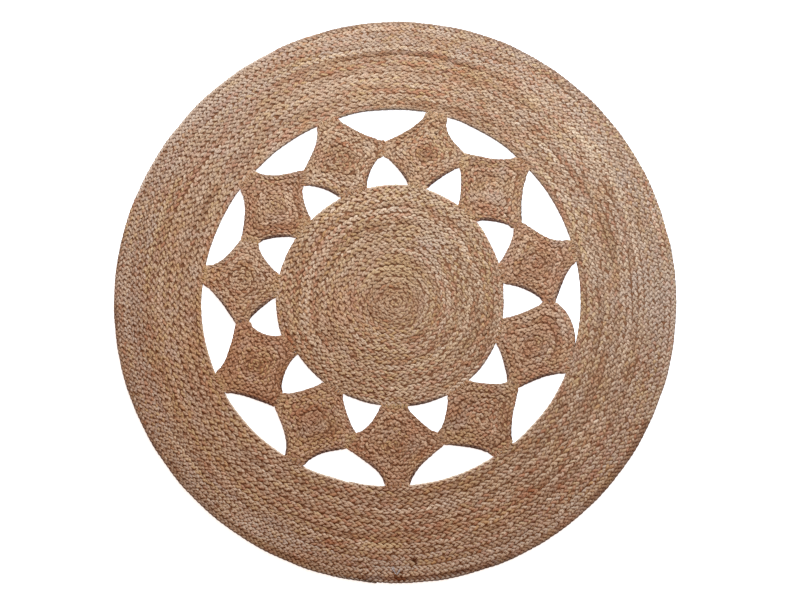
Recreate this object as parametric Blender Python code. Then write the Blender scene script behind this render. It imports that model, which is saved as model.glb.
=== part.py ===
"""A round braided jute rug, lying flat.

A wide outer band and a centre disc, each one long braid wound and sewn edge to edge,
are joined by a ring of eleven braided squares standing on their corners. Each square is
sewn by its corners to the band, to the disc and to its two neighbours, and the drawn-in
sides between those corners leave two rings of openings.

Metres, +Z up. The underside lies on z = 0 and the origin is the middle of the outline.
Angles are in degrees, counter-clockwise from +X about the middle of the rug.
"""

import math

import bmesh
import bpy
from mathutils import Vector

# --- sizes of the whole rug ---
BAND_RADIUS = 0.5995  # mean radius of the rug's outer edge
BAND_INNER_RADIUS = 0.4022  # mean radius of the band's inner edge
DISC_RADIUS = 0.2325  # mean radius of the disc where its last turn of braid begins
DISC_LAST_TURN = 0.014  # how much that turn adds to the radius by its end
THICKNESS = 0.008
EDGE_ROUNDING = 0.0022  # the braid's round edge
SEAM_GAP = 0.0003

# --- unevenness of the three round edges ---
# Each edge swells and dips: (swells round the rug, height in metres, angle of a crest).
# A single swell sets that edge off centre.
BAND_OUTER_SWELLS = ((2, 0.0008, 26), (3, 0.0013, 69))
BAND_INNER_SWELLS = ((1, 0.0126, 139), (2, 0.0025, 28), (3, 0.0027, 85))
DISC_SWELLS = ((1, 0.0121, 121), (2, 0.0016, 2), (3, 0.0029, 72))
# The disc's braid winds outwards counter-clockwise and is tapered off over this stretch.
DISC_END_FROM = 196.0
DISC_END_TO = 208.0

# --- how finely round edges and the sides of the squares are divided ---
BAND_DIVISIONS = 180
DISC_DIVISIONS = 180
SIDE_DIVISIONS = 8
CORNER_DIVISIONS = 6

# --- where neighbouring squares are sewn together ---
# One seam before each square, counter-clockwise. Its two ends, as angle and radius in mm.
SEAM_COLUMNS = ("outer_angle", "outer_mm", "inner_angle", "inner_mm")
SEAMS = (
    (0.2, 340, 0.3, 316),
    (32.6, 319, 32.0, 297),
    (65.4, 351, 64.7, 320),
    (93.7, 343, 94.9, 315),
    (124.6, 344, 128.2, 318),
    (157.5, 356, 156.5, 320),
    (187.5, 344, 187.2, 316),
    (220.7, 340, 218.5, 309),
    (251.3, 327, 253.1, 292),
    (288.9, 319, 287.7, 291),
    (325.3, 318, 324.6, 292),
)

# --- the eleven squares ---
# The angles over which a square's outer corner lies along the band and its inner corner
# along the disc, and how far each of its four sides is drawn in, in mm: the outer side
# after the seam (outer_near), the one before the next seam (outer_far), then the inner two.
SQUARE_COLUMNS = (
    "band_from", "band_to", "disc_from", "disc_to",
    "outer_near", "outer_far", "inner_near", "inner_far",
)
SQUARES = (
    (13.0, 19.7, 10.3, 20.7, 6, 11, 7, 4),
    (45.0, 50.1, 45.8, 57.4, 7, 6, 7, 4),
    (74.4, 80.7, 74.9, 83.9, 12, 7, 3, 6),
    (107.8, 114.0, 103.9, 117.6, 4, 7, 10, 6),
    (137.1, 143.9, 135.5, 147.0, 9, 9, 6, 6),
    (169.0, 174.5, 166.2, 177.3, 11, 5, 7, 4),
    (201.4, 207.7, 196.2, 207.5, 8, 4, 11, 10),
    (234.2, 240.4, 227.6, 239.8, 9, 8, 6, 4),
    (266.9, 274.2, 261.9, 276.2, 9, 8, 8, 5),
    (302.5, 309.7, 299.4, 313.3, 7, 5, 7, 4),
    (337.3, 344.0, 338.3, 351.7, 6, 0, 4, 4),
)
# Where along a side the draw is deepest, from the seam with the neighbour (0) to the corner (1).
OUTER_DEEPEST = 0.6
INNER_DEEPEST = 0.45

# --- colours ---
JUTE_BAND = (0.37, 0.23, 0.145, 1)
JUTE_DISC = (0.38, 0.235, 0.145, 1)
JUTE_SQUARE = (0.36, 0.21, 0.125, 1)
JUTE_ROUGHNESS = 0.85


def polar(angle, radius):
    a = math.radians(angle)
    return Vector((radius * math.cos(a), radius * math.sin(a)))


def swollen(radius, swells, angle):
    """The radius of an uneven round edge at an angle."""
    for count, height, crest in swells:
        radius += height * math.cos(math.radians(count * (angle - crest)))
    return radius


def band_outer(angle):
    return swollen(BAND_RADIUS, BAND_OUTER_SWELLS, angle)


def band_inner(angle):
    return swollen(BAND_INNER_RADIUS, BAND_INNER_SWELLS, angle)


def disc_edge(angle):
    """The disc grows through its last turn, and loses that again where the braid ends."""
    angle %= 360
    taper = DISC_END_TO - DISC_END_FROM
    if DISC_END_FROM <= angle < DISC_END_TO:
        turned = 1 - (angle - DISC_END_FROM) / taper
    else:
        turned = ((angle - DISC_END_TO) % 360) / (360 - taper)
    return swollen(DISC_RADIUS + DISC_LAST_TURN * turned, DISC_SWELLS, angle)


def between(start, end, divisions):
    """Evenly spaced values from start to end, both included."""
    return [start + (end - start) * i / divisions for i in range(divisions + 1)]


def round_edge(edge, divisions):
    """The points of a whole round edge, counter-clockwise."""
    return [polar(a, edge(a)) for a in between(0, 360, divisions)[:-1]]


def drawn_side(start, end, draw, deepest):
    """A side from start to end, pulled to its right by draw, with its own end points."""
    along = end - start
    right = Vector((along.y, -along.x)).normalized()
    rise = deepest / (1 - deepest)
    top = deepest**rise * (1 - deepest)
    points = []
    for t in between(0, 1, SIDE_DIVISIONS):
        points.append(start + along * t + right * (draw * t**rise * (1 - t) / top))
    return points


def seam_ends(seam, side):
    """The outer and inner end of a seam, half a gap to one side of it (-1 before, 1 after)."""
    row = dict(zip(SEAM_COLUMNS, seam))
    outer = polar(row["outer_angle"], row["outer_mm"] / 1000)
    inner = polar(row["inner_angle"], row["inner_mm"] / 1000)
    outwards = (outer - inner).normalized()
    ahead = Vector((-outwards.y, outwards.x))
    shift = ahead * (side * SEAM_GAP / 2)
    return outer + shift, inner + shift


def square_outline(index):
    """The outline of one square, clockwise from the inner end of the seam before it."""
    row = dict(zip(SQUARE_COLUMNS, SQUARES[index]))
    near_outer, near_inner = seam_ends(SEAMS[index], 1)
    far_outer, far_inner = seam_ends(SEAMS[(index + 1) % len(SEAMS)], -1)
    on_disc = [
        polar(a, disc_edge(a) + SEAM_GAP)
        for a in between(row["disc_from"], row["disc_to"], CORNER_DIVISIONS)
    ]
    on_band = [
        polar(a, band_inner(a) - SEAM_GAP)
        for a in between(row["band_to"], row["band_from"], CORNER_DIVISIONS)
    ]
    draw = {name: row[name] / 1000 for name in SQUARE_COLUMNS[4:]}
    points = drawn_side(near_inner, on_disc[0], draw["inner_near"], INNER_DEEPEST)
    points += on_disc[1:-1]
    points += drawn_side(far_inner, on_disc[-1], -draw["inner_far"], INNER_DEEPEST)[::-1]
    points += drawn_side(far_outer, on_band[0], draw["outer_far"], OUTER_DEEPEST)
    points += on_band[1:-1]
    points += drawn_side(near_outer, on_band[-1], -draw["outer_near"], OUTER_DEEPEST)[::-1]
    return points


def jute(name, colour):
    material = bpy.data.materials.new(name)
    material.use_nodes = True
    surface = material.node_tree.nodes["Principled BSDF"]
    surface.inputs["Base Color"].default_value = colour
    surface.inputs["Roughness"].default_value = JUTE_ROUGHNESS
    surface.inputs["Metallic"].default_value = 0
    return material


def flat_loop(bm, points, middle):
    """A closed loop of edges on the floor, moved so that the rug's middle is at the origin."""
    verts = [bm.verts.new((*(p - middle), 0)) for p in points]
    return [bm.edges.new((verts[i - 1], verts[i])) for i in range(len(verts))]


def braided_panel(name, outlines, middle, material):
    """A flat panel between its outlines, one braid thick, with rounded top and bottom edges."""
    bm = bmesh.new()
    edges = [e for points in outlines for e in flat_loop(bm, points, middle)]
    bmesh.ops.triangle_fill(bm, edges=edges, use_beauty=True)
    raised = bmesh.ops.extrude_face_region(bm, geom=bm.faces[:], use_keep_orig=True)
    top = [v for v in raised["geom"] if isinstance(v, bmesh.types.BMVert)]
    bmesh.ops.translate(bm, verts=top, vec=(0, 0, THICKNESS))
    bmesh.ops.recalc_face_normals(bm, faces=bm.faces)
    rims = [
        e for e in bm.edges
        if len(e.link_faces) == 2 and e.calc_face_angle() > math.radians(80)
        and abs(e.verts[0].co.z - e.verts[1].co.z) < THICKNESS / 2
    ]
    bmesh.ops.bevel(
        bm, geom=rims, offset=EDGE_ROUNDING, offset_type="OFFSET", affect="EDGES",
        segments=1, profile=0.5, material=-1,
    )
    mesh = bpy.data.meshes.new(name)
    bm.to_mesh(mesh)
    bm.free()
    mesh.materials.append(material)
    mesh.shade_smooth()
    mesh.set_sharp_from_angle(angle=math.radians(30))
    panel = bpy.data.objects.new(name, mesh)
    bpy.context.collection.objects.link(panel)
    return panel


def outline_middle(points):
    """The middle of the box around an outline."""
    xs = [p.x for p in points]
    ys = [p.y for p in points]
    return Vector(((min(xs) + max(xs)) / 2, (min(ys) + max(ys)) / 2))


def build_rug():
    for old in list(bpy.data.objects):
        bpy.data.objects.remove(old, do_unlink=True)
    outer_edge = round_edge(band_outer, BAND_DIVISIONS)
    inner_edge = round_edge(band_inner, BAND_DIVISIONS)
    middle = outline_middle(outer_edge)
    braided_panel("outer_band", [outer_edge, inner_edge], middle, jute("jute_band", JUTE_BAND))
    disc_outline = round_edge(disc_edge, DISC_DIVISIONS)
    braided_panel("centre_disc", [disc_outline], middle, jute("jute_disc", JUTE_DISC))
    jute_squares = jute("jute_squares", JUTE_SQUARE)
    for index in range(len(SQUARES)):
        name = f"square_{index + 1:02d}"
        braided_panel(name, [square_outline(index)], middle, jute_squares)


build_rug()
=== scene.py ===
"""A round rug of plaited jute, lying flat and seen from straight above.

Every panel is one long three-strand plait, wound outwards and sewn to itself edge to edge:
the centre disc, the wide outer band, and the eleven squares that are sewn between them by
their corners. Each strand is a thick soft yarn that swings from side to side and passes over
and under the others. Short stitches hold the corners, and a small loose tuft stands near the
band's outer edge. A thin dark web at half height is painted shade in the gaps between turns.

Metres, +Z up. The underside lies on z = 0. Angles are counter-clockwise from +X.
"""

import math
from dataclasses import dataclass
from typing import Callable

import bmesh
import bpy
import numpy as np
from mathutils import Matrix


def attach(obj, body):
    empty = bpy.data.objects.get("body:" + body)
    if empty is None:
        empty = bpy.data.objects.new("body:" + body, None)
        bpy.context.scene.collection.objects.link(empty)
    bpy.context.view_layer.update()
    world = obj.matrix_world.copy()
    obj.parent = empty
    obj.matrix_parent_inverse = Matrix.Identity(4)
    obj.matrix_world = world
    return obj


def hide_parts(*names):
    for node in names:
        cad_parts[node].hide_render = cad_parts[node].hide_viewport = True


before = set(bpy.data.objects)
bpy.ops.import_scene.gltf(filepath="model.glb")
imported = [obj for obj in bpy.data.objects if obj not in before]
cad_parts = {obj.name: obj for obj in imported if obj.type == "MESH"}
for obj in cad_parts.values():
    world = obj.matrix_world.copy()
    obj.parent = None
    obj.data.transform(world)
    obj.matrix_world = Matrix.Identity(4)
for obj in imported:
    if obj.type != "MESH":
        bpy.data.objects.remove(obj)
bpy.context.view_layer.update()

FULL_TURN = 2 * math.pi
MM = 0.001

# --- the plait ---
BRAID_WIDTH = 11.7 * MM
BRAID_THICKNESS = 8.0 * MM
STRANDS = 3
STRAND_WIDTH = 5.9 * MM
STRAND_THICKNESS = 3.9 * MM
STRAND_GIRTH = math.pi * (STRAND_WIDTH + STRAND_THICKNESS) / 2
STRAND_SIDES = 6
STRAND_FULLNESS = 0.75  # the power that shapes its section: an ellipse at 1, fuller below
BULGE = 0.14  # how much fuller a strand is on top, and thinner below, than halfway
PEAKEDNESS = 0.12  # how much sharper its tops are than a wave's
SWING = 4.2 * MM  # of a strand to either side, so that sewn turns bite into each other
SQUARENESS = -0.08  # how much longer than a wave it keeps to the braid's edge: here less
EDGE_TUCK = 1 - (BRAID_WIDTH - STRAND_WIDTH) / 2 / SWING  # the share of its swing lost at a free edge
EDGE_LOOSENESS = 0.25  # how uneven the outermost turn is, against the others
EDGE_FLATNESS = 0.42  # the share of a wave past which a strand runs straight along a free edge
NARROWEST, WIDEST = 0.3, 1.5  # how far a braid narrows at its ends and widens to fill a corner
THINNEST = 0.35  # the width at which a narrowing braid's strands get no thinner
FATTENING = 0.7  # the power by which strands fatten as their braid widens
RISE = (BRAID_THICKNESS - STRAND_THICKNESS) / 2  # how far a strand goes over and under
CLEARANCE = 0.05 * MM  # above the floor, at least
POINTS_PER_PLAIT = 10  # points on each strand in one whole plait
ROUTE_STEP = 1.5 * MM
FIBRE_SHIFT = 7.3  # metres of fibres from one strand to the next, so that none are alike

# --- how uneven it is: how much, and over what length that changes ---
UNEVENNESS = {
    "pull": (1.5 * MM, 50 * MM),  # neighbouring turns together, sideways
    "sway": (0.8 * MM, 36 * MM),  # one turn, sideways
    "lift": (0.2 * MM, 60 * MM),  # one turn, up and down
    "stretch": (0.04, 50 * MM),  # of a turn's width
    "lead": (0.5, 26 * MM),  # how far a strand runs ahead in the plait, in radians
    "aside": (1.0 * MM, 15 * MM),  # one strand, sideways
    "height": (0.5 * MM, 13 * MM),  # one strand, up and down
    "fullness": (0.16, 11 * MM),  # of a strand's thickness
}
USUAL_WANDER = 0.6  # of the amount: how far a place usually wanders
PULL_WAVES = 12
PULL_PACES = (0.5, 1.5)  # how often the rarest and the closest of those waves come, against the spacing
EVEN_EDGE = 1.3  # lanes at a panel's edges over which the pull fades out

# --- the panels ---
SIDE_HEIGHT = 2.2 * MM  # where the CAD panels' upright sides begin
SIDE_TOLERANCE = 0.1 * MM
AREA_STEPS = 720
TIP_LEFT_OUT = 0.25  # the share of a taper that is left out at its thin tip

BAND_TURNS = 17
BAND_END = math.radians(270)
BAND_STEP_SHARE = 0.05  # of a turn, in which the braid steps over its own start and end
BAND_TIP = 0.2  # the share of that step that is left out at both thin tips
BAND_STEPS = 2400  # places worked out in each turn
BAND_PIECES = 5
BAND_PLAIT_AT = (0.55, 0.8)  # shares of the ring's width, with one whole plait's length there
BAND_PLAIT = (43.5 * MM, 33 * MM)
BAND_SEED = 17
BAND_WORN = (-0.03, 0.52)  # the middle of its worn place
BAND_INNER_RADIUS_MOST = 0.5  # points farther out are on the outer edge
OUTER_RIM_LIT = 0.1  # the outer edge counts as facing +Y by this much at most
INNER_RIM_LIT, INNER_RIM_SWING = 0.35, 1.35  # the inner edge: on average, and how much more or less

DISC_TURNS = 20
DISC_START = 0.83  # turns left out in the middle, where they would be too tight
DISC_END = math.radians(208)
DISC_TAPER = 12 / 360
DISC_STEPS = 1200
DISC_LOOSENESS = 1.3
DISC_PLAIT = 38 * MM
DISC_SEED = 20

SQUARES = 11
SQUARE_TURNS = 6
SQUARE_START = 0.55
SQUARE_TAPER = 0.07
SQUARE_STEPS = 600
SQUARE_LOOSENESS = 1.3
SQUARE_PLAIT = 31 * MM
SQUARE_SEED = 100  # to which each square's number is added
ROUNDNESS = 0.5  # the power by which a square's turns go from round to square
# Each square's own tone and redness.
SQUARE_LOOKS = {
    1: (0.035, 0.45), 2: (0.035, 0.2), 3: (0.05, 0.12), 4: (0.12, 0.0),
    5: (0.05, 0.25), 6: (0.095, 0.0), 7: (0.0, 0.5), 8: (0.075, 0.3),
    9: (0.045, 0.27), 10: (0.025, 0.2), 11: (0.055, 0.3),
}


@dataclass
class Panel:
    """What the worn places and the colouring of a panel's braid go by."""

    middle: np.ndarray
    rim: Callable  # gives how far inside the nearest edge places are, and how much that faces +Y
    sewn: np.ndarray  # places where it is sewn to other panels
    dull_reach: float  # how far its duller, flatter worn place reaches
    dullness: float = 0.10  # how much darker it is there
    flatness: float = 0.0  # how much less its strands rise there
    worn: tuple = ()  # the middle of that place, where it isn't the panel's own
    tone: float = 0.0  # how much lighter it is all over
    redness: float = 0.0
    rim_width: float = 2.1 * MM
    rim_crispness: float = 1.0  # how suddenly the rim's colour ends
    golden: tuple = ()  # joints where the yarn shows golden


# --- outlines ---

def polar(places):
    """The angle and the distance of each place, seen from the origin."""
    return np.arctan2(places[:, 1], places[:, 0]), np.hypot(places[:, 0], places[:, 1])


def outline_of(node):
    """The outline of a flat CAD panel, as the points of its upright sides."""
    places = np.array([v.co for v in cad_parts[node].data.vertices])
    on_side = np.abs(places[:, 2] - SIDE_HEIGHT) < SIDE_TOLERANCE
    return np.unique(places[on_side, :2].round(6), axis=0)


def edge_about(places, middle):
    """An outline as a function of the angle: how far the edge is from a middle."""
    angles, reach = polar(places - middle)
    order = np.argsort(angles)
    return lambda angle: np.interp(angle, angles[order], reach[order], period=FULL_TURN)


def middle_of(places):
    """The middle of the area inside an outline."""
    rough = places.mean(axis=0)
    offset = places - rough
    ring = offset[np.argsort(polar(offset)[0])]
    ahead = np.roll(ring, -1, axis=0)
    wedge = ring[:, 0] * ahead[:, 1] - ring[:, 1] * ahead[:, 0]
    return rough + ((ring + ahead) * wedge[:, None]).sum(axis=0) / (3 * wedge.sum())


def area_of(edge):
    """The area inside an edge."""
    angles = np.linspace(0, FULL_TURN, AREA_STEPS, endpoint=False)
    return 0.5 * float((edge(angles) ** 2).mean()) * FULL_TURN


def nearest(places, others):
    """How far each place is from the nearest of some other places."""
    return np.hypot(*(places[:, None] - others[None]).transpose(2, 0, 1)).min(axis=1)


def rim_about(edge, middle, most_lit=1.0):
    """The rim of a panel with one closed edge. most_lit limits how far it counts as facing +Y."""
    def rim(x, y):
        angle = np.arctan2(y - middle[1], x - middle[0])
        inside = edge(angle) - np.hypot(x - middle[0], y - middle[1])
        return inside, np.minimum(np.sin(angle), most_lit)
    return rim


def worn_place(panel):
    """The middle of a panel's worn place."""
    return np.array(panel.worn) if panel.worn else panel.middle


def hump(places, middle, reach):
    """A smooth hump about a middle, from 1 to 0."""
    return np.exp(-((places[:, :2] - middle) ** 2).sum(axis=1) / reach ** 2)


# --- the route of a braid ---

def eased(share):
    """A share from 0 to 1 that sets out and arrives gently."""
    return share * share * (3 - 2 * share)


def disc_lanes(turned, turns, taper):
    """Where a braid lies as it winds out from the middle of a panel with a closed edge.

    turned counts its turns. There are turns lanes just after its end and one more just
    before it, where the braid tapers off. Gives its lane, the number of lanes and its width.
    """
    whole = np.floor(turned)
    part = turned - whole
    grown = np.clip(part / (1 - taper), 0, 1)
    tail = np.clip((part - 1 + taper) / taper, 0, 1)
    lane = whole - 0.5 + grown
    width = np.where(whole == turns, 1 - tail, 1.0)
    lane = np.where(whole == turns, lane - tail / 2, lane)
    return lane, turns + grown - tail, width


def band_lanes(turned, turns):
    """Where a braid lies as it winds across a ring from its inner to its outer edge.

    In the middle of the ring it moves outwards all the time. Towards both edges it keeps
    more and more to its lane, and makes up for that in one step over its own start or end.
    """
    whole = np.floor(turned)
    part = turned - whole
    half = (turns - 1) / 2
    drift = np.clip(1 - np.abs(whole - half) / half, 0, 1)
    step = eased(np.clip((part - 1 + BAND_STEP_SHARE) / BAND_STEP_SHARE, 0, 1))
    moved = drift * part + (1 - drift) * step
    starting, ending = whole < 0, whole == turns - 1
    width = np.where(starting, step, np.where(ending, 1 - step, 1.0))
    lane = whole + 0.5 + np.where(ending, 0, moved) + (1 - width) / 2
    # Between the lanes of two turns there is a little more room inside, and less outside.
    room = np.where(starting | ending, 0, np.sign(half - whole) / half * (part - step))
    return lane, np.full_like(lane, turns), width * (1 + room)


def follow(angle, lane, lanes, width, reach, middle, inner_edge=False):
    """The route of a braid: where its middle goes, its direction and its width at each place.

    rim and hem say how far it lies along the panel's outer and its inner edge, from 0 to 1,
    and inside how far it lies away from both. A panel without an inner edge has no hem.
    """
    radius = reach(lane / lanes, angle)
    pitch = reach((lane + 0.5) / lanes, angle) - reach((lane - 0.5) / lanes, angle)
    from_inner = lane if inner_edge else lanes
    values = {
        "x": middle[0] + radius * np.cos(angle),
        "y": middle[1] + radius * np.sin(angle),
        "angle": angle,
        "pitch": pitch * width,
        "share": lane / lanes,
        "rim": np.clip(2 * (lane - lanes + 1), 0, 1),
        "hem": np.clip(2 * (1 - from_inner), 0, 1),
        "inside": np.clip(np.minimum(from_inner, lanes - lane) / EVEN_EDGE, 0, 1),
    }
    far = np.hypot(np.diff(values["x"]), np.diff(values["y"])).cumsum()
    far = np.concatenate(([0], far))
    along = np.linspace(0, far[-1], int(far[-1] / ROUTE_STEP))
    route = {name: np.interp(along, far, value) for name, value in values.items()}
    route["along"] = along
    dx, dy = np.gradient(route["x"]), np.gradient(route["y"])
    step = np.hypot(dx, dy)
    route["left_x"], route["left_y"] = -dy / step, dx / step
    # The pitch was measured outwards from the middle. Across the braid it is smaller.
    slant = np.abs(dx * np.sin(route["angle"]) - dy * np.cos(route["angle"])) / step
    route["width"] = route["pitch"] * slant / BRAID_WIDTH
    return route


# --- its strands ---

def wander(rng, along, spacing):
    """Smooth unevenness along a line, mostly between -1 and 1, that changes over a spacing."""
    knots = rng.standard_normal(int(along[-1] / spacing) + 3) * USUAL_WANDER
    place = along / spacing
    knot = place.astype(int)
    return knots[knot] + (knots[knot + 1] - knots[knot]) * eased(place - knot)


def wandering(rng, along, kinds):
    """Several kinds of unevenness together, each given as an amount and a spacing."""
    return sum(amount * wander(rng, along, spacing) for amount, spacing in kinds)


def uneven(rng, along, kind):
    """One kind of unevenness at each place along a braid or strand."""
    return wandering(rng, along, [UNEVENNESS[kind]])


def pulled_aside(rng, x, y):
    """How far the sewing pulls the turns sideways at each place. Neighbours move together."""
    amount, spacing = UNEVENNESS["pull"]
    heading = rng.uniform(0, FULL_TURN, PULL_WAVES)
    pace = math.pi / spacing * rng.uniform(*PULL_PACES, PULL_WAVES)
    start = rng.uniform(0, FULL_TURN, PULL_WAVES)
    waves = np.sin(np.outer(x, pace * np.cos(heading)) + np.outer(y, pace * np.sin(heading)) + start)
    return amount * USUAL_WANDER * math.sqrt(2 / PULL_WAVES) * waves.sum(axis=1)


def plaited(route, plait, rng, panel, looseness=1.0):
    """The three strands of a panel's braid along a route, as places, fatness and colouring.

    plait is the length of one whole plait at each place of the route. A looser braid has
    more uneven strands.
    """
    along = route["along"]
    plaits = np.concatenate(([0], np.cumsum(np.diff(along) / plait[1:])))
    steps = np.arange(0, plaits[-1], 1 / POINTS_PER_PLAIT)
    s = np.interp(steps, plaits, along)
    names = ("x", "y", "left_x", "left_y", "width", "rim", "hem", "inside")
    x, y, left_x, left_y, width, rim, hem, inside = (np.interp(s, along, route[name]) for name in names)
    width = np.clip(width, NARROWEST, WIDEST) * (1 + uneven(rng, s, "stretch"))
    pulled = np.clip(width, THINNEST, WIDEST) ** FATTENING
    sway = inside * (pulled_aside(rng, x, y) + looseness * uneven(rng, s, "sway"))
    lift = uneven(rng, s, "lift")
    freedom = EDGE_LOOSENESS + (1 - EDGE_LOOSENESS) * (1 - np.maximum(rim, hem))
    loose = looseness * freedom
    worn = panel.flatness * hump(np.column_stack((x, y)), worn_place(panel), panel.dull_reach)
    arc = wandering(rng, s, ARC_TONES)
    strands = []
    for number in range(STRANDS):
        phase = FULL_TURN * (steps + number / STRANDS) + loose * uneven(rng, s, "lead")
        wave = (np.sin(phase) + SQUARENESS * np.sin(3 * phase)) / (1 - SQUARENESS)
        straight = np.clip(wave, -EDGE_FLATNESS, EDGE_FLATNESS) / EDGE_FLATNESS * (1 - EDGE_TUCK)
        wave = wave + np.where(wave > 0, hem, rim) * (straight - wave)
        aside = SWING * width * wave + sway + loose * uneven(rng, s, "aside")
        # It goes under and over twice in the time of one swing.
        dip = (np.sin(2 * phase) - PEAKEDNESS * np.sin(6 * phase)) / (1 + PEAKEDNESS) * (1 - worn)
        fatness = pulled * (1 + freedom * uneven(rng, s, "fullness")) * (1 - BULGE * freedom * dip)
        height = BRAID_THICKNESS / 2 - RISE * dip + lift + looseness * uneven(rng, s, "height")
        height = np.maximum(height, 0.5 * STRAND_THICKNESS * fatness + CLEARANCE)
        places = np.stack((x + left_x * aside, y + left_y * aside, height), axis=1)
        strands.append({"places": places, "fatness": fatness, "along": s + FIBRE_SHIFT * number,
                        "looks": jute_looks(rng, s, places, panel, arc)})
    return strands


def part_of(strands, first, last):
    """The stretch of each strand between two shares of its length."""
    parts = []
    for strand in strands:
        count = len(strand["places"])
        start, end = int(first * (count - 1)), int(last * (count - 1)) + 1
        parts.append({name: values[start:end] for name, values in strand.items()})
    return parts


def short_yarn(x, y, height, fatness, along, colour):
    """A short yarn of one colour, in the form that a strand has."""
    return {"places": np.column_stack((x, y, height)), "fatness": fatness, "along": along,
            "looks": np.tile(colour, (len(along), 1))}


# --- colouring ---
# How tone, tints and grey wander: amounts, each with the length in metres over which it changes.
ARC_TONES = ((0.09, 0.09), (0.11, 0.35))  # the whole braid together
STRAND_TONES = ((0.08, 0.006), (0.10, 0.025), (0.08, 0.4))
RED_WANDER, RED_THRESHOLD = ((1.2, 0.03), (1.5, 0.3)), 0.6
GOLD_WANDER, GOLD_THRESHOLD = ((1.1, 0.06), (1.2, 0.5)), 0.5
MOST_TINT = 1.1
GREY_WANDER, MEAN_GREY = ((0.6, 0.06),), 0.35
GREY_FROM, GREY_FULL = 0.527, 0.540  # radii between which the grey of the outer turns sets in
LEAST_GREY = 0.12  # the share of it that the inner turns have
GOLDEN_REACH = 14 * MM
# The crown carries painted light and shade: low near half the braid's height, in the crevices between
# strands, high on their tops and undersides.
FLATTENED, MEAN_CROWN = 0.6, 0.8  # in the worn place the painted light and shade across a strand are evened out this far, to this crown all round
CROWN_FROM, CROWN_RISE = 0.1, 0.65  # of half the thickness: where the crown begins, and how soon it is full
RIM_SHADE = 0.35  # how dark the rim is where it faces sideways: more where it faces -Y
LIGHTEST_RIM = -0.5
RIM_END = 1.3  # rim widths from the edge to where its colour ends
SIDE_SHADE, SIDE_WIDTH = 0.65, 2.0 * MM  # how dark the low sides of the strands at a dark rim are
SEWN_REACH = 4 * MM
# Streaks and spots of differently coloured yarn, rows of painted light and shade along the outer rim,
# and painted shadow by the tuft: angles, radius and reach in mm, and colouring.
STREAK_COLUMNS = ("from_angle", "to_angle", "radius", "reach", "tone", "red", "gold", "grey")
STREAKS = (
    (262.5, 271.5, 519, 5, 0.05, 0, 1.6, 0),
    (253, 258, 527, 5, 0, 1.0, 0, 0),
    (150, 178, 530, 5, 0, 0, 0.9, 0),
    (265, 275, 566, 5, 0, 0, 0, 1.0),
    (77.5, 79.5, 511, 3, 0.3, 0, 1.8, 0),
    (77.2, 78.4, 503, 3, -0.6, 0.3, 0, 0),
    # Painted light: a pale grey row along the outer rim at the upper left.
    (116, 158, 596, 4.5, 0.75, 0, 0, 1.0),
    # Darker rows along the outer rim: one at the top, and from 165° round to 335° painted shade where the
    # rim faces away from the lamps.
    (35, 105, 597, 3, -0.25, 0, 0, 0.5),
    (165, 215, 596, 3, -0.3, 0, 0, 0.2),
    (215, 262, 590, 9, -0.25, 0, 0, 0.15),
    (262, 285, 589, 5, -0.45, 0.1, 0, 0.2),
    (258, 290, 596, 3, -0.05, 0, 0, 1.0),
    (285, 335, 594, 5, -0.35, 0.1, 0, 0.2),
    # Painted shadow below the tuft, and a small black gap of painted shade between the braids near it.
    (269.7, 271.9, 589, 5, -0.8, 0.3, 0, 0),
    (273.6, 274.9, 551, 4, -1.4, 0, 0, 0),
    (194, 206, 240, 6, -0.1, 1.2, 0, 0),
)
# Broad soft patches: their middle and reach in mm, and colouring.
PATCH_COLUMNS = ("x", "y", "reach", "tone", "red", "gold", "grey")
PATCHES = (
    (10, 69, 38, -0.03, 0, 0.6, 0),
    (-103, -5, 42, 0, 0.7, 0, 0),
    (78, 123, 34, 0.08, 0, 0, 0.7),
    (575, 0, 110, 0.06, 0, 0, 0.8),
    (-400, 400, 160, 0.03, 0, 0, 0.5),
    (-290, -490, 120, 0.04, 0, 0, 0.2),
    (490, -285, 110, 0.04, 0, 0, 0.1),
    (150, 560, 170, -0.04, 0, 0, 0),
    (-60, -430, 190, 0, 0.2, 0, 0),
    (-420, -110, 240, -0.01, 0.35, 0.1, 0),
    (340, 280, 160, 0.07, 0, 0, 0.15),
    (0, 0, 40, -0.06, 0.25, 0.1, 0),
    (-215, -372, 110, -0.03, 0, 0, 0),
    (-560, 0, 120, 0.05, 0, 0, 0.2),
    (0, 520, 260, -0.03, 0, 0, 0),
)


def jute_looks(rng, s, places, panel, arc):
    """The tone, redness, gold and grey along a strand of a panel."""
    tone = arc + wandering(rng, s, STRAND_TONES)
    tone = tone + panel.tone - panel.dullness * hump(places, worn_place(panel), panel.dull_reach)
    red = np.clip(wandering(rng, s, RED_WANDER) - RED_THRESHOLD, 0, MOST_TINT) + panel.redness
    gold = np.clip(wandering(rng, s, GOLD_WANDER) - GOLD_THRESHOLD, 0, MOST_TINT)
    for place in panel.golden:
        gold = gold + hump(places, place, GOLDEN_REACH)
    angle, radius = polar(places)
    grey = np.clip(MEAN_GREY + wandering(rng, s, GREY_WANDER), 0, 1)
    grey = grey * np.clip((radius - GREY_FROM) / (GREY_FULL - GREY_FROM), LEAST_GREY, 1)
    for row in PATCHES:
        patch = dict(zip(PATCH_COLUMNS, row))
        here = hump(places, np.array((patch["x"], patch["y"])) * MM, patch["reach"] * MM)
        tone, red = tone + patch["tone"] * here, red + patch["red"] * here
        gold, grey = gold + patch["gold"] * here, grey + patch["grey"] * here
    angle = np.degrees(angle) % 360
    for row in STREAKS:
        streak = dict(zip(STREAK_COLUMNS, row))
        here = (angle > streak["from_angle"]) & (angle < streak["to_angle"])
        here = here & (np.abs(radius - streak["radius"] * MM) < streak["reach"] * MM)
        tone = np.where(here, tone + streak["tone"], tone)
        red = np.where(here, streak["red"], red)
        gold = np.where(here, streak["gold"], gold)
        grey = np.where(here, streak["grey"], grey)
    return np.column_stack((tone, red, gold, grey))


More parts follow.
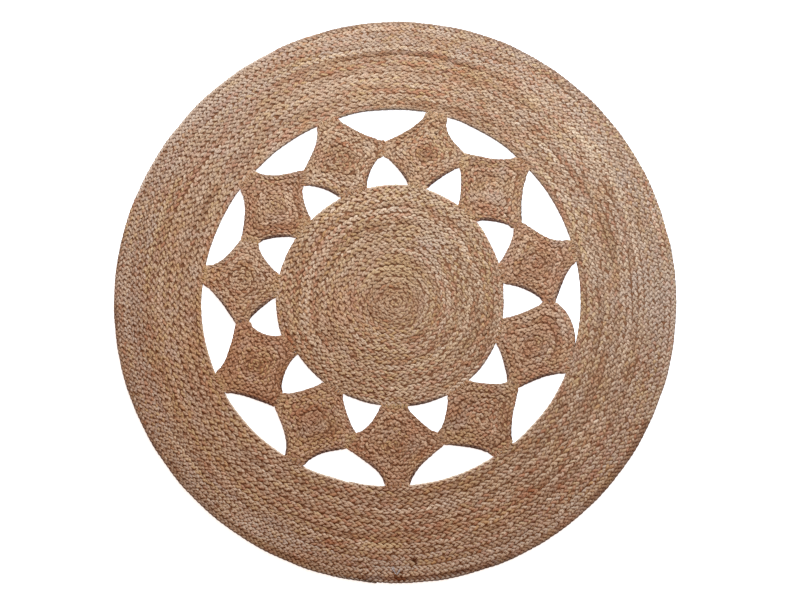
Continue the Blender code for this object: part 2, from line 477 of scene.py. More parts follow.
def rim_shading(panel, places, crown):
    """How far each place has the dark rim's painted shade or, below 0, the lit rim's painted light."""
    inside, facing = panel.rim(*places.T)
    shade = np.clip(RIM_SHADE - (1 - RIM_SHADE) * facing, LIGHTEST_RIM, 1)
    # A strong shade reaches farther in.
    within = RIM_END - inside / (panel.rim_width * (1 + np.abs(shade)))
    rim = shade * np.clip(panel.rim_crispness * within, 0, 1)
    low = SIDE_SHADE * (1 - crown) * np.clip(RIM_END - inside / SIDE_WIDTH, 0, 1)
    rim = np.where(shade > 0, np.maximum(rim, low), rim)
    # Where the panel is sewn to another it has no rim.
    shaded = rim != 0
    rim[shaded] *= np.clip(nearest(places[shaded], panel.sewn) / SEWN_REACH - 1, 0, 1)
    return rim


def paint(mesh, yarns, panel):
    """Give each point of a mesh of yarns its colouring, and its shares of crown and rim, which carry painted
    light and shade.
    """
    looks = np.repeat(np.concatenate([yarn["looks"] for yarn in yarns]), STRAND_SIDES, axis=0)
    places = np.empty(3 * len(mesh.vertices))
    mesh.vertices.foreach_get("co", places)
    places = places.reshape(-1, 3)
    # Painted shade: near half the braid's height a strand sinks between the others, so its crown is low
    # there and it is painted darker.
    height = np.abs(places[:, 2] / (BRAID_THICKNESS / 2) - 1)
    places = places[:, :2]
    crown = np.clip((height - CROWN_FROM) / CROWN_RISE, 0, 1)
    rim = np.zeros(len(places))
    if panel:
        flat = FLATTENED * hump(places, worn_place(panel), panel.dull_reach)
        crown = crown + flat * (MEAN_CROWN - crown)
        rim = rim_shading(panel, places, crown)
    mesh.attributes.new("looks", "FLOAT_COLOR", "POINT").data.foreach_set(
        "color", looks.astype(np.float32).ravel())
    for name, values in (("crown", crown), ("rim", rim)):
        attribute = mesh.attributes.new(name, "FLOAT", "POINT")
        attribute.data.foreach_set("value", values.astype(np.float32))


# --- strands made into meshes ---
MAP_MARGIN = 0.04  # of a row of the second map, above and below


def placed(name, data):
    """An object in the scene with its data."""
    piece = bpy.data.objects.new(name, data)
    bpy.context.collection.objects.link(piece)
    return piece


def piece_of(name, mesh, material):
    """A piece with its mesh and the one material that it has."""
    mesh.materials.clear()
    mesh.materials.append(material)
    return placed(name, mesh)


def mesh_of(name, bm):
    """The mesh of a finished bmesh."""
    mesh = bpy.data.meshes.new(name)
    bm.to_mesh(mesh)
    bm.free()
    return mesh


def strand_section():
    """The oval section of a strand, as the profile that its curves are given."""
    profile = bpy.data.curves.new("strand_section", "CURVE")
    profile.dimensions = "2D"
    spline = profile.splines.new("POLY")
    spline.points.add(STRAND_SIDES - 1)
    for index, point in enumerate(spline.points):
        angle = -FULL_TURN * index / STRAND_SIDES  # clockwise, so that faces point out
        across, up = (math.copysign(abs(part) ** STRAND_FULLNESS, part)
                      for part in (math.cos(angle), math.sin(angle)))
        point.co = (0.5 * STRAND_WIDTH * across, 0.5 * STRAND_THICKNESS * up, 0, 1)
    spline.use_cyclic_u = True
    return placed("strand_section", profile)


def map_fibres(mesh, yarns):
    """A map in metres, around and along each yarn. Gives the shares that it had before."""
    # The vertices come ring by ring along each yarn.
    along = np.repeat(np.concatenate([yarn["along"] for yarn in yarns]), STRAND_SIDES)
    corner = np.empty(len(mesh.loops), int)
    mesh.loops.foreach_get("vertex_index", corner)
    uv = np.empty(2 * len(mesh.loops))
    mesh.uv_layers[0].data.foreach_get("uv", uv)
    along_share, around_share = uv[::2], uv[1::2]
    around = around_share * STRAND_GIRTH
    mesh.uv_layers[0].data.foreach_set("uv", np.column_stack((around, along[corner])).ravel())
    mesh.uv_layers[0].name = "fibres"
    return around_share, along_share


def map_without_overlaps(mesh, around_share, along_share, yarns):
    """A second map on which every ring of faces has its own place, in rows."""
    lengths = np.array([len(yarn["places"]) - 1 for yarn in yarns])
    rings_before = np.concatenate(([0], np.cumsum(lengths)[:-1]))
    yarn_of_face = np.repeat(np.arange(len(yarns)), lengths * STRAND_SIDES)
    yarn_of_corner = np.repeat(yarn_of_face, 4)
    ring = np.round(along_share * lengths[yarn_of_corner]) + rings_before[yarn_of_corner]
    first_ring = ring.reshape(-1, 4).min(axis=1).repeat(4)
    rings = lengths.sum()
    per_row = math.ceil(math.sqrt(rings * STRAND_SIDES))
    rows = math.ceil(rings / per_row)
    across = (first_ring % per_row + ring - first_ring) / per_row
    up = (first_ring // per_row + MAP_MARGIN + (1 - 2 * MAP_MARGIN) * around_share) / rows
    layer = mesh.uv_layers.new(name="OFBake")
    layer.data.foreach_set("uv", np.column_stack((across, up)).ravel())


def close_ends(mesh):
    """Close both ends of every yarn. A cap has its yarn's places on the maps."""
    bm = bmesh.new()
    bm.from_mesh(mesh)
    open_ends = [e for e in bm.edges if e.is_boundary]
    caps = bmesh.ops.holes_fill(bm, edges=open_ends, sides=0)["faces"]
    for layer in bm.loops.layers.uv.values():
        for loop in (loop for cap in caps for loop in cap.loops):
            beside = next(other for other in loop.vert.link_loops if other.face not in caps)
            loop[layer].uv = beside[layer].uv
    bmesh.ops.recalc_face_normals(bm, faces=bm.faces)
    bm.to_mesh(mesh)
    bm.free()


def yarns_to_mesh(name, yarns, section, material, panel=None):
    """One mesh of many yarns: each is a curve with a section, made a mesh and closed at its ends."""
    curve = bpy.data.curves.new(name, "CURVE")
    curve.dimensions = "3D"
    curve.bevel_mode = "OBJECT"
    curve.bevel_object = section
    curve.twist_mode = "Z_UP"
    for yarn in yarns:
        spline = curve.splines.new("POLY")
        spline.points.add(len(yarn["places"]) - 1)
        weighted = np.column_stack((yarn["places"], np.ones(len(yarn["places"]))))
        spline.points.foreach_set("co", weighted.ravel())
        spline.points.foreach_set("radius", yarn["fatness"])
        spline.use_smooth = True
    line = placed(name, curve)
    evaluated = line.evaluated_get(bpy.context.evaluated_depsgraph_get())
    mesh = bpy.data.meshes.new_from_object(evaluated)
    bpy.data.objects.remove(line)
    bpy.data.curves.remove(curve)
    mesh.name = name
    paint(mesh, yarns, panel)
    map_without_overlaps(mesh, *map_fibres(mesh, yarns), yarns)
    close_ends(mesh)
    mesh.shade_smooth()
    return piece_of(name, mesh, material)


# --- materials ---
JUTE_ROUGHNESS, JUTE_SPECULAR = 0.7, 0.12
# The colours of each jute's yarn, from the darkest to the lightest, and that of its dark rim of painted
# shade.
# The two darkest serve both the yarn's darker fibres and the painted shade low between the strands.
JUTES = {
    "band": ((0.09, 0.027, 0.008, 1), (0.205, 0.098, 0.048, 1), (0.33, 0.20, 0.125, 1),
             (0.62, 0.46, 0.34, 1), (0.12, 0.08, 0.06, 1)),
    "disc": ((0.10, 0.031, 0.009, 1), (0.215, 0.10, 0.046, 1), (0.335, 0.21, 0.13, 1),
             (0.62, 0.46, 0.34, 1), (0.09, 0.048, 0.035, 1)),
    "square": ((0.085, 0.024, 0.007, 1), (0.195, 0.088, 0.042, 1), (0.315, 0.183, 0.108, 1),
               (0.59, 0.42, 0.295, 1), (0.075, 0.033, 0.024, 1)),
    "stitch": ((0.09, 0.03, 0.01, 1), (0.205, 0.095, 0.044, 1), (0.325, 0.19, 0.108, 1),
               (0.59, 0.42, 0.28, 1), (0.075, 0.033, 0.024, 1)),
    "tuft": ((0.13, 0.12, 0.12, 1), (0.28, 0.26, 0.27, 1), (0.43, 0.41, 0.43, 1),
             (0.66, 0.63, 0.66, 1), (0.105, 0.066, 0.046, 1)),
}
DEEP_AT, TAN_AT = 0.25, 0.5  # levels of the second and third of those colours
LIT_RIM_COLOUR = (0.62, 0.50, 0.40, 1)
DARK_RIM_STRENGTH, LIT_RIM_STRENGTH = 0.95, 1.6
FIBRE_SIZE = (1.2 * MM, 5 * MM, 1)  # around the strand and along it
FIBRE_CONTRAST = 0.66
CROWN_LIGHT = 0.16  # how much lighter a strand's crown is painted than its low sides: painted light on top, painted shade low down
LIGHTNESS = 0.455 - 0.5 * FIBRE_CONTRAST  # the level of its sides, before the fibres are added
PLIES = 2  # of a strand
PLY_TWIST = 6.5 * MM  # the length in which a ply moves over by its own width
PLY_WAVER, PLY_WAVER_SIZE = 0.9, (6 * MM, 9 * MM, 1)  # how far they wander from that, in ply widths
GROOVE_NARROWNESS = 1.6
# How much darker the grooves between the plies are painted, as shade.
GROOVE_DARKNESS = 0.1
GROOVE_DEPTH, LUMP_HEIGHT = 1.3, 1.2  # against the fibres' height
LUMP_SIZE = 2.2 * MM
RELIEF = 0.7 * MM
# The sizes of the patches of red, gold and grey, and their colours.
RED = (0.037, (0.33, 0.105, 0.045, 1))
GOLD = (0.045, (0.42, 0.26, 0.115, 1))
GREY = (0.041, (0.40, 0.305, 0.255, 1))
PATCH_FROM, PATCH_FULL = 0.52, 0.72  # of the noise that makes them
PATCH_SHARE = 0.6  # how much a patch adds to a strand's own share of a tint
TINT_STRENGTH, MOST_TINTED = 0.5, 0.55
WEB_ROUGHNESS = 0.9
WEB_GRAIN = 1.1 * MM
# The web's painted shade: the dark browns of its grain, from the darkest to the lightest.
SHADE_WEB_COLOURS = ((0.08, 0.026, 0.009, 1), (0.23, 0.09, 0.034, 1))


def new_material(name, roughness, specular=0.5):
    """A material with its tree of nodes and its surface."""
    material = bpy.data.materials.new(name)
    material.use_nodes = True
    tree = material.node_tree
    surface = tree.nodes["Principled BSDF"]
    set_inputs(surface, {"Roughness": roughness, "Specular IOR Level": specular})
    return material, tree, surface


def set_inputs(node, values):
    """Give inputs of a node their values."""
    for name, value in values.items():
        node.inputs[name].default_value = value


def put(tree, socket, value):
    """Give an input a value, or another node's output."""
    if isinstance(value, bpy.types.NodeSocket):
        tree.links.new(value, socket)
    else:
        socket.default_value = value


def attribute(tree, name):
    """An attribute of the mesh, as a node."""
    node = tree.nodes.new("ShaderNodeAttribute")
    node.attribute_name = name
    return node


def worked_out(tree, operation, *values):
    """The result of a sum on values or other nodes' outputs."""
    node = tree.nodes.new("ShaderNodeMath")
    node.operation = operation
    for socket, value in zip(node.inputs, values):
        put(tree, socket, value)
    return node.outputs[0]


def mixed(tree, share, a, b):
    """Colour a with a share of colour b."""
    node = tree.nodes.new("ShaderNodeMix")
    node.data_type = "RGBA"
    put(tree, node.inputs["Factor"], share)
    put(tree, node.inputs[6], a)
    put(tree, node.inputs[7], b)
    return node.outputs[2]


def ramped(tree, level, first, last, between=()):
    """The colour at a level from 0 to 1. between has the levels and colours on the way."""
    node = tree.nodes.new("ShaderNodeValToRGB")
    ends = node.color_ramp.elements
    ends[0].position, ends[1].position = 0.0, 1.0
    ends[0].color, ends[1].color = first, last
    for position, colour in between:
        node.color_ramp.elements.new(position).color = colour
    tree.links.new(level, node.inputs[0])
    return node.outputs[0]


def noise(tree, where, size, detail=2.0, roughness=0.5):
    """Noise with features of a size along each axis."""
    stretch = tree.nodes.new("ShaderNodeMapping")
    set_inputs(stretch, {"Scale": [1 / along for along in size]})
    tree.links.new(where, stretch.inputs["Vector"])
    node = tree.nodes.new("ShaderNodeTexNoise")
    set_inputs(node, {"Scale": 1.0, "Detail": detail, "Roughness": roughness})
    tree.links.new(stretch.outputs[0], node.inputs["Vector"])
    return node.outputs["Fac"]


def patches(tree, place, size):
    """Soft patches of about a size, from 0 outside them to 1 in their middles."""
    node = tree.nodes.new("ShaderNodeMapRange")
    tree.links.new(noise(tree, place, (size, size, size)), node.inputs["Value"])
    set_inputs(node, {"From Min": PATCH_FROM, "From Max": PATCH_FULL})
    return node.outputs[0]


def ply_grooves(tree, uv):
    """The grooves between the plies of a strand, from 0 on a ply to 1 in a groove."""
    ways = tree.nodes.new("ShaderNodeSeparateXYZ")
    tree.links.new(uv, ways.inputs[0])
    around, along = ways.outputs[0], ways.outputs[1]
    waver = worked_out(tree, "MULTIPLY", noise(tree, uv, PLY_WAVER_SIZE), PLY_WAVER)
    turned = worked_out(tree, "MULTIPLY_ADD", along, 1 / PLY_TWIST, waver)
    turned = worked_out(tree, "MULTIPLY_ADD", around, PLIES / STRAND_GIRTH, turned)
    part = worked_out(tree, "FRACT", turned)
    beside = worked_out(tree, "ABSOLUTE", worked_out(tree, "MULTIPLY_ADD", part, 2.0, -1.0))
    return worked_out(tree, "POWER", beside, GROOVE_NARROWNESS)


def jute_material(name, dark, deep, tan, straw, rim_colour):
    """Jute yarn. Its colours run from dark to straw, and rim_colour is the painted shade of its dark rim."""
    material, tree, surface = new_material(name, JUTE_ROUGHNESS, JUTE_SPECULAR)
    looks = attribute(tree, "looks")
    parts = tree.nodes.new("ShaderNodeSeparateColor")
    tree.links.new(looks.outputs["Color"], parts.inputs[0])
    tone, red, gold = parts.outputs
    grey = looks.outputs["Alpha"]
    crown = attribute(tree, "crown").outputs["Fac"]
    rim = attribute(tree, "rim").outputs["Fac"]
    uv = tree.nodes.new("ShaderNodeUVMap")
    uv.uv_map = "fibres"
    place = tree.nodes.new("ShaderNodeTexCoord").outputs["Object"]

    # Fibres run along the strand, and it has loosely twisted plies with grooves between them, painted darker
    # as shade.
    fibres = noise(tree, uv.outputs[0], FIBRE_SIZE, detail=3.0, roughness=0.7)
    groove = ply_grooves(tree, uv.outputs[0])
    # Its crown is painted lighter than its sides, and its sides are painted darker as shade where they sink
    # between the strands.
    level = worked_out(tree, "ADD", tone, worked_out(tree, "MULTIPLY_ADD", crown, CROWN_LIGHT, LIGHTNESS))
    level = worked_out(tree, "MULTIPLY_ADD", fibres, FIBRE_CONTRAST, level)
    level = worked_out(tree, "MULTIPLY_ADD", groove, -GROOVE_DARKNESS, level)
    colour = ramped(tree, level, dark, straw, between=((DEEP_AT, deep), (TAN_AT, tan)))
    for strand_share, (patch_size, tint) in ((red, RED), (gold, GOLD), (grey, GREY)):
        share = worked_out(tree, "MULTIPLY_ADD", patches(tree, place, patch_size), PATCH_SHARE, strand_share)
        share = worked_out(tree, "MULTIPLY", share, TINT_STRENGTH)
        share = worked_out(tree, "MINIMUM", share, MOST_TINTED)
        colour = mixed(tree, share, colour, tint)
    # Painted shade on rims that face away from the lamps, most where they face -Y, and painted light on rims
    # that face +Y.
    colour = mixed(tree, worked_out(tree, "MULTIPLY", rim, DARK_RIM_STRENGTH), colour, rim_colour)
    colour = mixed(tree, worked_out(tree, "MULTIPLY", rim, -LIT_RIM_STRENGTH), colour, LIT_RIM_COLOUR)
    tree.links.new(colour, surface.inputs["Base Color"])

    bump = tree.nodes.new("ShaderNodeBump")
    set_inputs(bump, {"Strength": 1.0, "Distance": RELIEF})
    lumps = noise(tree, place, (LUMP_SIZE,) * 3)
    relief = worked_out(tree, "MULTIPLY_ADD", lumps, LUMP_HEIGHT, fibres)
    relief = worked_out(tree, "MULTIPLY_ADD", groove, -GROOVE_DEPTH, relief)
    tree.links.new(relief, bump.inputs["Height"])
    tree.links.new(bump.outputs[0], surface.inputs["Normal"])
    return material


def shade_web_material():
    """The dark brown of the web, painted shade with a fine grain."""
    material, tree, surface = new_material("painted_shade_web", WEB_ROUGHNESS)
    place = tree.nodes.new("ShaderNodeTexCoord").outputs["Object"]
    grain = noise(tree, place, (WEB_GRAIN,) * 3)
    tree.links.new(ramped(tree, grain, *SHADE_WEB_COLOURS), surface.inputs["Base Color"])
    return material


# --- the thin web of painted shade inside each panel ---
WEB_INSET = 3.6 * MM
WEB_INSET_SEWN = 0.2 * MM  # where the panel is sewn to another
WEB_THICKNESS = 1.2 * MM
WEB_DIVISIONS = 240


def loop_at(bm, edge, middle, outwards, sewn, height):
    """A closed loop of edges a little inside a panel's outer edge, or outside its inner one."""
    angles = np.linspace(0, FULL_TURN, WEB_DIVISIONS, endpoint=False)
    headings = np.column_stack((np.cos(angles), np.sin(angles)))
    places = middle + headings * edge(angles)[:, None]
    inset = np.clip(nearest(places, sewn) - SEWN_REACH, WEB_INSET_SEWN, WEB_INSET)
    places = places - outwards * headings * inset[:, None]
    verts = [bm.verts.new((x, y, height)) for x, y in places]
    return [bm.edges.new((verts[i - 1], verts[i])) for i in range(len(verts))]


def web(name, edges, panel, material):
    """A thin flat sheet of painted shade at half the braid's height, a little inside the panel's edges."""
    bm = bmesh.new()
    height = (BRAID_THICKNESS - WEB_THICKNESS) / 2
    outer = loop_at(bm, edges[0], panel.middle, 1, panel.sewn, height)
    if len(edges) > 1:
        inner = loop_at(bm, edges[1], panel.middle, -1, panel.sewn, height)
        bmesh.ops.bridge_loops(bm, edges=outer + inner)
    else:
        bmesh.ops.triangle_fill(bm, edges=outer, use_beauty=True)
    raised = bmesh.ops.extrude_face_region(bm, geom=bm.faces[:], use_keep_orig=True)
    top = [v for v in raised["geom"] if isinstance(v, bmesh.types.BMVert)]
    bmesh.ops.translate(bm, verts=top, vec=(0, 0, WEB_THICKNESS))
    bmesh.ops.recalc_face_normals(bm, faces=bm.faces)
    return piece_of(name, mesh_of(name, bm), material)


def declare(node, sheet, yarns, area):
    """Hang a web and its yarns on the root body in place of a panel, and hide the panel's CAD part."""
    for piece in [sheet, *yarns]:
        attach(piece, "root")
    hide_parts(node)


# --- the stitches over the joints ---
JOINT_REACH = 0.8 * MM  # outline points nearer than this to another panel belong to a joint
JOINT_OVERLAP = 1.4 * MM  # how far a square's corner is pulled over its edge there
JOINTS = ("band", "disc", "next")  # what each square is sewn to
# Where the yarn shows golden: a square and what it is sewn to.
GOLDEN_JOINTS = ((5, "next"), (8, "next"), (7, "band"), (6, "band"), (6, "disc"), (9, "disc"), (2, "next"))
GOLDEN_STITCHES, PLAIN_STITCHES = 1.3, 0.15  # how golden they are there and elsewhere
STITCH_SPACING = 3.8 * MM
STITCH_SHIFT = 0.3  # of that spacing, by which one may lie before or after its place
STITCH_SLANT = 0.3  # radians
STITCH_LENGTH = 14 * MM
STITCH_FATNESS = 0.52
STITCH_VARIETY = 0.15  # of their lengths and fatness
STITCH_END_HEIGHT, STITCH_TOP = 3.6 * MM, 7.3 * MM
STITCH_TOP_VARIETY = 0.4 * MM
STITCH_POINTS = 5
STITCH_TONE, STITCH_TONE_VARIETY = -0.06, 0.16
STITCH_REDNESS = 0.7  # at most
STITCH_GOLD = (0.3, 1.3)  # the least and most of what a joint's stitches have


def joint_on(places, middle, edge):
    """The points of a square's outline that lie along a round edge, in order."""
    angle, reach = polar(places)
    near = np.abs(reach - edge(angle)) < JOINT_REACH
    turned = (angle - math.atan2(middle[1], middle[0]) + math.pi) % FULL_TURN - math.pi
    return places[near][np.argsort(turned[near])]


def joint_between(places, others):
    """The points halfway between the touching points of two outlines, from the inside out."""
    gaps = np.array([nearest(places, other[None]) for other in others]).T
    ours, theirs = np.nonzero(gaps < JOINT_REACH)
    halfway = (places[ours] + others[theirs]) / 2
    return halfway[np.argsort(polar(halfway)[1])]


def joints_of(number, band_edge, disc_edge):
    """The three joints of a square: with the band, the disc and the next square."""
    places = outline_of(f"square_{number:02d}")
    after = outline_of(f"square_{number % SQUARES + 1:02d}")
    middle = middle_of(places)
    return [joint_on(places, middle, band_edge), joint_on(places, middle, disc_edge),
            joint_between(places, after)]


def stitches(name, joints, golden, rng, section, material):
    """Short yarns arched over each joint, from one braid to the other.

    golden says how golden each joint's stitches are.
    """
    yarns = []
    arch = np.linspace(-1, 1, STITCH_POINTS)
    for path, gold in zip(joints, golden):
        far = np.concatenate(([0], np.hypot(*np.diff(path, axis=0).T).cumsum()))
        for place in np.arange(STITCH_SPACING / 2, far[-1], STITCH_SPACING):
            place += STITCH_SHIFT * STITCH_SPACING * rng.uniform(-1, 1)
            x, y = (np.interp(place, far, path[:, way]) for way in (0, 1))
            # The last stitch of a joint has the direction of the one before.
            if place + MM < far[-1]:
                x_ahead, y_ahead = (np.interp(place + MM, far, path[:, way]) for way in (0, 1))
                run = math.atan2(y_ahead - y, x_ahead - x)
            across = run + math.pi / 2 + STITCH_SLANT * rng.standard_normal()
            reach = 0.5 * STITCH_LENGTH * arch * (1 + STITCH_VARIETY * rng.standard_normal())
            top = STITCH_TOP + STITCH_TOP_VARIETY * rng.uniform(-1, 1)
            height = STITCH_END_HEIGHT + (top - STITCH_END_HEIGHT) * (1 - arch ** 2)
            fatness = STITCH_FATNESS * (1 + STITCH_VARIETY * rng.standard_normal())
            tone = STITCH_TONE_VARIETY * rng.standard_normal() + STITCH_TONE
            colour = (tone, STITCH_REDNESS * rng.random(), gold * rng.uniform(*STITCH_GOLD), 0)
            yarns.append(short_yarn(x + reach * math.cos(across), y + reach * math.sin(across), height,
                                    np.full(STITCH_POINTS, fatness), reach, colour))
    return yarns_to_mesh(name, yarns, section, material)


# --- the loose tuft ---
TUFT_ROOT = (2.8 * MM, -581 * MM)
TUFT_ARMS = ((121, 21 * MM), (57, 16 * MM))  # the heading in degrees and the length of each side of its V
TUFT_YARNS = 6  # in each
TUFT_SPREAD, TUFT_CURL = 0.3, 0.25  # radians between the outermost yarns of an arm, and that they bend
TUFT_LENGTHS = (0.7, 1.05)  # the shortest and longest, against their arm
TUFT_ROOT_SIZE = 1.5 * MM
TUFT_FATNESS, TUFT_THINNING = 0.34, (1.1, 0.5)  # at the root, and how much is lost towards the tips
TUFT_POINTS = 6
TUFT_LOWEST, TUFT_TOP = 6.0 * MM, 9.0 * MM
TUFT_RISES = (0.8, 1.1)  # the least and most of that rise
TUFT_TONE_VARIETY = 0.1
TUFT_SEED = 3


def tuft(section, material):
    """A few loose ends of greyish yarn that stand out of the band near its rim, in a V."""
    rng = np.random.default_rng(TUFT_SEED)
    share = np.linspace(0, 1, TUFT_POINTS)
    at_root, lost = TUFT_THINNING
    yarns = []
    for heading, length in TUFT_ARMS:
        for _ in range(TUFT_YARNS):
            turned = math.radians(heading) + TUFT_SPREAD * (rng.random() - 0.5)
            turned = turned + TUFT_CURL * (rng.random() - 0.5) * share
            reach = length * rng.uniform(*TUFT_LENGTHS) * share
            root = TUFT_ROOT + TUFT_ROOT_SIZE * (rng.random(2) - 0.5)
            risen = (1 - (1 - share) ** 3) * rng.uniform(*TUFT_RISES)
            height = TUFT_LOWEST + (TUFT_TOP - TUFT_LOWEST) * risen
            colour = (TUFT_TONE_VARIETY * rng.standard_normal(), 0, 0, 0)
            yarns.append(short_yarn(root[0] + reach * np.cos(turned), root[1] + reach * np.sin(turned),
                                    height, TUFT_FATNESS * (at_root - lost * share), reach, colour))
    return yarns_to_mesh("outer_band_tuft", yarns, section, material)


# --- the panels, built ---

def outer_band(outer, inner, sewn, section, stuff):
    """The wide ring, from its inner edge to the rug's outer edge."""
    def reach(share, angle):
        return inner(angle) + (outer(angle) - inner(angle)) * share

    def rim(x, y):
        angle, radius = np.arctan2(y, x), np.hypot(x, y)
        to_outer, to_inner = outer(angle) - radius, radius - inner(angle)
        facing_out = np.minimum(np.sin(angle), OUTER_RIM_LIT)
        facing_in = INNER_RIM_LIT - INNER_RIM_SWING * np.sin(angle)
        return np.minimum(to_outer, to_inner), np.where(to_outer < to_inner, facing_out, facing_in)

    panel = Panel(np.zeros(2), rim, sewn, dull_reach=0.3, dullness=0.0, flatness=0.35, worn=BAND_WORN,
                  rim_crispness=1.3)
    turned = np.arange(-BAND_STEP_SHARE * (1 - BAND_TIP), BAND_TURNS - BAND_STEP_SHARE * BAND_TIP,
                       1 / BAND_STEPS)
    lane, lanes, width = band_lanes(turned, BAND_TURNS)
    route = follow(BAND_END + FULL_TURN * turned, lane, lanes, width, reach, panel.middle, inner_edge=True)
    plait = np.interp(route["share"], BAND_PLAIT_AT, BAND_PLAIT)
    strands = plaited(route, plait, np.random.default_rng(BAND_SEED), panel)
    cuts = np.linspace(0, 1, BAND_PIECES + 1)
    yarns = []
    for number in range(BAND_PIECES):
        stretch = part_of(strands, cuts[number], cuts[number + 1])
        yarns.append(yarns_to_mesh(f"outer_band_braid_{number + 1}", stretch, section, stuff["band"], panel))
    yarns.append(tuft(section, stuff["tuft"]))
    sheet = web("outer_band_web", [outer, inner], panel, stuff["web"])
    declare("outer_band", sheet, yarns, area_of(outer) - area_of(inner))


def centre_disc(edge, sewn, section, stuff):
    """The round panel in the middle."""
    middle = np.zeros(2)
    panel = Panel(middle, rim_about(edge, middle), sewn, dull_reach=0.11, dullness=0.05, flatness=0.35,
                  tone=0.07, redness=0.08, rim_width=2.6 * MM, rim_crispness=2.0)
    turned = np.arange(DISC_START, DISC_TURNS + 1 - TIP_LEFT_OUT * DISC_TAPER, 1 / DISC_STEPS)
    lane, lanes, width = disc_lanes(turned, DISC_TURNS, DISC_TAPER)
    route = follow(DISC_END + FULL_TURN * turned, lane, lanes, width,
                   lambda share, angle: share * edge(angle), middle)
    plait = np.full(len(route["along"]), DISC_PLAIT)
    strands = plaited(route, plait, np.random.default_rng(DISC_SEED), panel, DISC_LOOSENESS)
    braid = yarns_to_mesh("centre_disc_braid", strands, section, stuff["disc"], panel)
    sheet = web("centre_disc_web", [edge], panel, stuff["web"])
    declare("centre_disc", sheet, [braid], area_of(edge))


def square(number, joints, sewn, section, stuff):
    """One of the squares between the disc and the band, with the stitches of its joints."""
    node = f"square_{number:02d}"
    places = outline_of(node)
    middle = middle_of(places)
    edge = edge_about(places, middle)
    mean = math.sqrt(area_of(edge)) / 2

    # The corners are pulled over their joints a little, as the sewing does.
    offset = places - middle
    outwards = offset / polar(offset)[1][:, None]
    pulled = np.where(nearest(places, sewn) < JOINT_REACH, JOINT_OVERLAP, 0)
    pulled_edge = edge_about(places + outwards * pulled[:, None], middle)

    def reach(share, angle):
        square_share = np.clip(share, 0, 1) ** ROUNDNESS
        return share * (pulled_edge(angle) * square_share + mean * (1 - square_share))

    is_golden = [(number, name) in GOLDEN_JOINTS for name in JOINTS]
    golden = tuple(joint.mean(axis=0) for joint, shows in zip(joints, is_golden) if shows)
    tone, redness = SQUARE_LOOKS[number]
    panel = Panel(middle, rim_about(edge, middle, most_lit=0.0), sewn, dull_reach=0.022, flatness=0.2,
                  tone=tone, redness=redness, rim_width=3.0 * MM, rim_crispness=2.5, golden=golden)
    rng = np.random.default_rng(SQUARE_SEED + number)
    end = math.atan2(-middle[1], -middle[0])
    turned = np.arange(SQUARE_START, SQUARE_TURNS + 1 - TIP_LEFT_OUT * SQUARE_TAPER, 1 / SQUARE_STEPS)
    lane, lanes, width = disc_lanes(turned, SQUARE_TURNS, SQUARE_TAPER)
    route = follow(end + FULL_TURN * turned, lane, lanes, width, reach, middle)
    plait = np.full(len(route["along"]), SQUARE_PLAIT)
    strands = plaited(route, plait, rng, panel, SQUARE_LOOSENESS)
    braid = yarns_to_mesh(f"{node}_braid", strands, section, stuff["square"], panel)
    how_golden = np.where(is_golden, GOLDEN_STITCHES, PLAIN_STITCHES)
    sewing = stitches(f"{node}_stitches", joints, how_golden, rng, section, stuff["stitch"])
    sheet = web(f"{node}_web", [edge], panel, stuff["web"])
    declare(node, sheet, [braid, sewing], area_of(edge))


# --- the room ---
PIXEL = 2.1322 * MM  # of the picture, on the rug
PICTURE_WIDTH = 800 * PIXEL
SENSOR_WIDTH = 36
CAMERA_HEIGHT = 3.2
CAMERA_X, CAMERA_Y = 4.8 * PIXEL, 2.5 * PIXEL
FLOOR_HALF_WIDTH = 40
FLOOR_COLOUR = (0.93, 0.96, 1.0, 1)
FLOOR_GLOW = 0.8
FLOOR_ROUGHNESS, FLOOR_SPECULAR = 0.9, 0.1
WORLD_COLOUR, WORLD_STRENGTH = (1.0, 0.52, 0.24, 1), 0.47
LAMP_SIZE = 0.6
# The place, the power in watts and the colour of each lamp.
LAMPS = {
    "sky_light": ((0.25, 2.1, 1.75), 122, (0.775, 0.925, 1.0)),
    "room_light": ((0.45, 0.3, 0.9), 3.5, (0.56, 1.0, 1.3)),
}


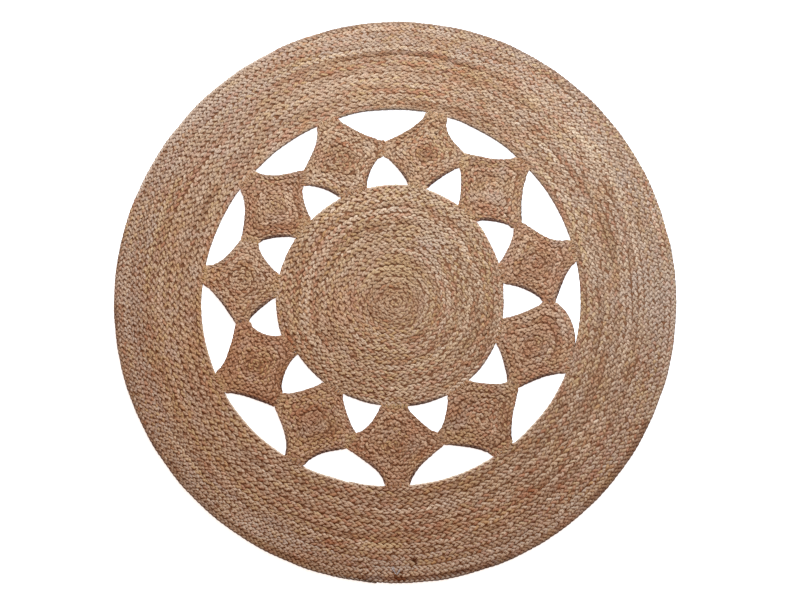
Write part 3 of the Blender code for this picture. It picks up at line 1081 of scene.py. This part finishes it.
def floor():
    """A wide pale floor that glows a little."""
    bm = bmesh.new()
    bmesh.ops.create_grid(bm, x_segments=1, y_segments=1, size=FLOOR_HALF_WIDTH)
    material, _, surface = new_material("floor", FLOOR_ROUGHNESS, FLOOR_SPECULAR)
    set_inputs(surface, {"Base Color": FLOOR_COLOUR, "Emission Color": FLOOR_COLOUR,
                         "Emission Strength": FLOOR_GLOW})
    piece = piece_of("floor", mesh_of("floor", bm), material)


def lamp(name, place, power, colour):
    """A soft square lamp that points at the middle of the rug."""
    light = bpy.data.lights.new(name, "AREA")
    light.shape = "SQUARE"
    light.size = LAMP_SIZE
    light.energy = power
    light.color = colour
    piece = placed(name, light)
    piece.location = place
    piece.rotation_euler = (-piece.location).to_track_quat("-Z", "Y").to_euler()


def lights():
    """Warm light from all round, and the cooler lamps."""
    world = bpy.data.worlds.new("studio")
    world.use_nodes = True
    set_inputs(world.node_tree.nodes["Background"], {"Color": WORLD_COLOUR, "Strength": WORLD_STRENGTH})
    bpy.context.scene.world = world
    for name, (place, power, colour) in LAMPS.items():
        lamp(name, place, power, colour)


def camera():
    """The camera straight above. Its lens gives a pixel its size at half the braid's height."""
    lens = bpy.data.cameras.new("camera")
    lens.sensor_width = SENSOR_WIDTH
    lens.lens = SENSOR_WIDTH * (CAMERA_HEIGHT - BRAID_THICKNESS / 2) / PICTURE_WIDTH
    piece = placed("camera", lens)
    piece.location = (CAMERA_X, CAMERA_Y, CAMERA_HEIGHT)
    bpy.context.scene.camera = piece


def build():
    """Build every panel from the CAD outlines, then the room."""
    bpy.context.scene.view_settings.view_transform = "Standard"
    section = strand_section()
    stuff = {name: jute_material(f"jute_{name}", *colours) for name, colours in JUTES.items()}
    stuff["web"] = shade_web_material()

    middle = np.zeros(2)
    band = outline_of("outer_band")
    is_outer = polar(band)[1] > BAND_INNER_RADIUS_MOST
    band_outer, band_inner = edge_about(band[is_outer], middle), edge_about(band[~is_outer], middle)
    disc_edge = edge_about(outline_of("centre_disc"), middle)
    numbers = range(1, SQUARES + 1)
    joints = {number: joints_of(number, band_inner, disc_edge) for number in numbers}
    sewn = np.concatenate([joint for joints_there in joints.values() for joint in joints_there])

    outer_band(band_outer, band_inner, sewn, section, stuff)
    centre_disc(disc_edge, sewn, section, stuff)
    for number in numbers:
        square(number, joints[number], sewn, section, stuff)
    bpy.data.objects.remove(section)
    floor()
    lights()
    camera()


build()
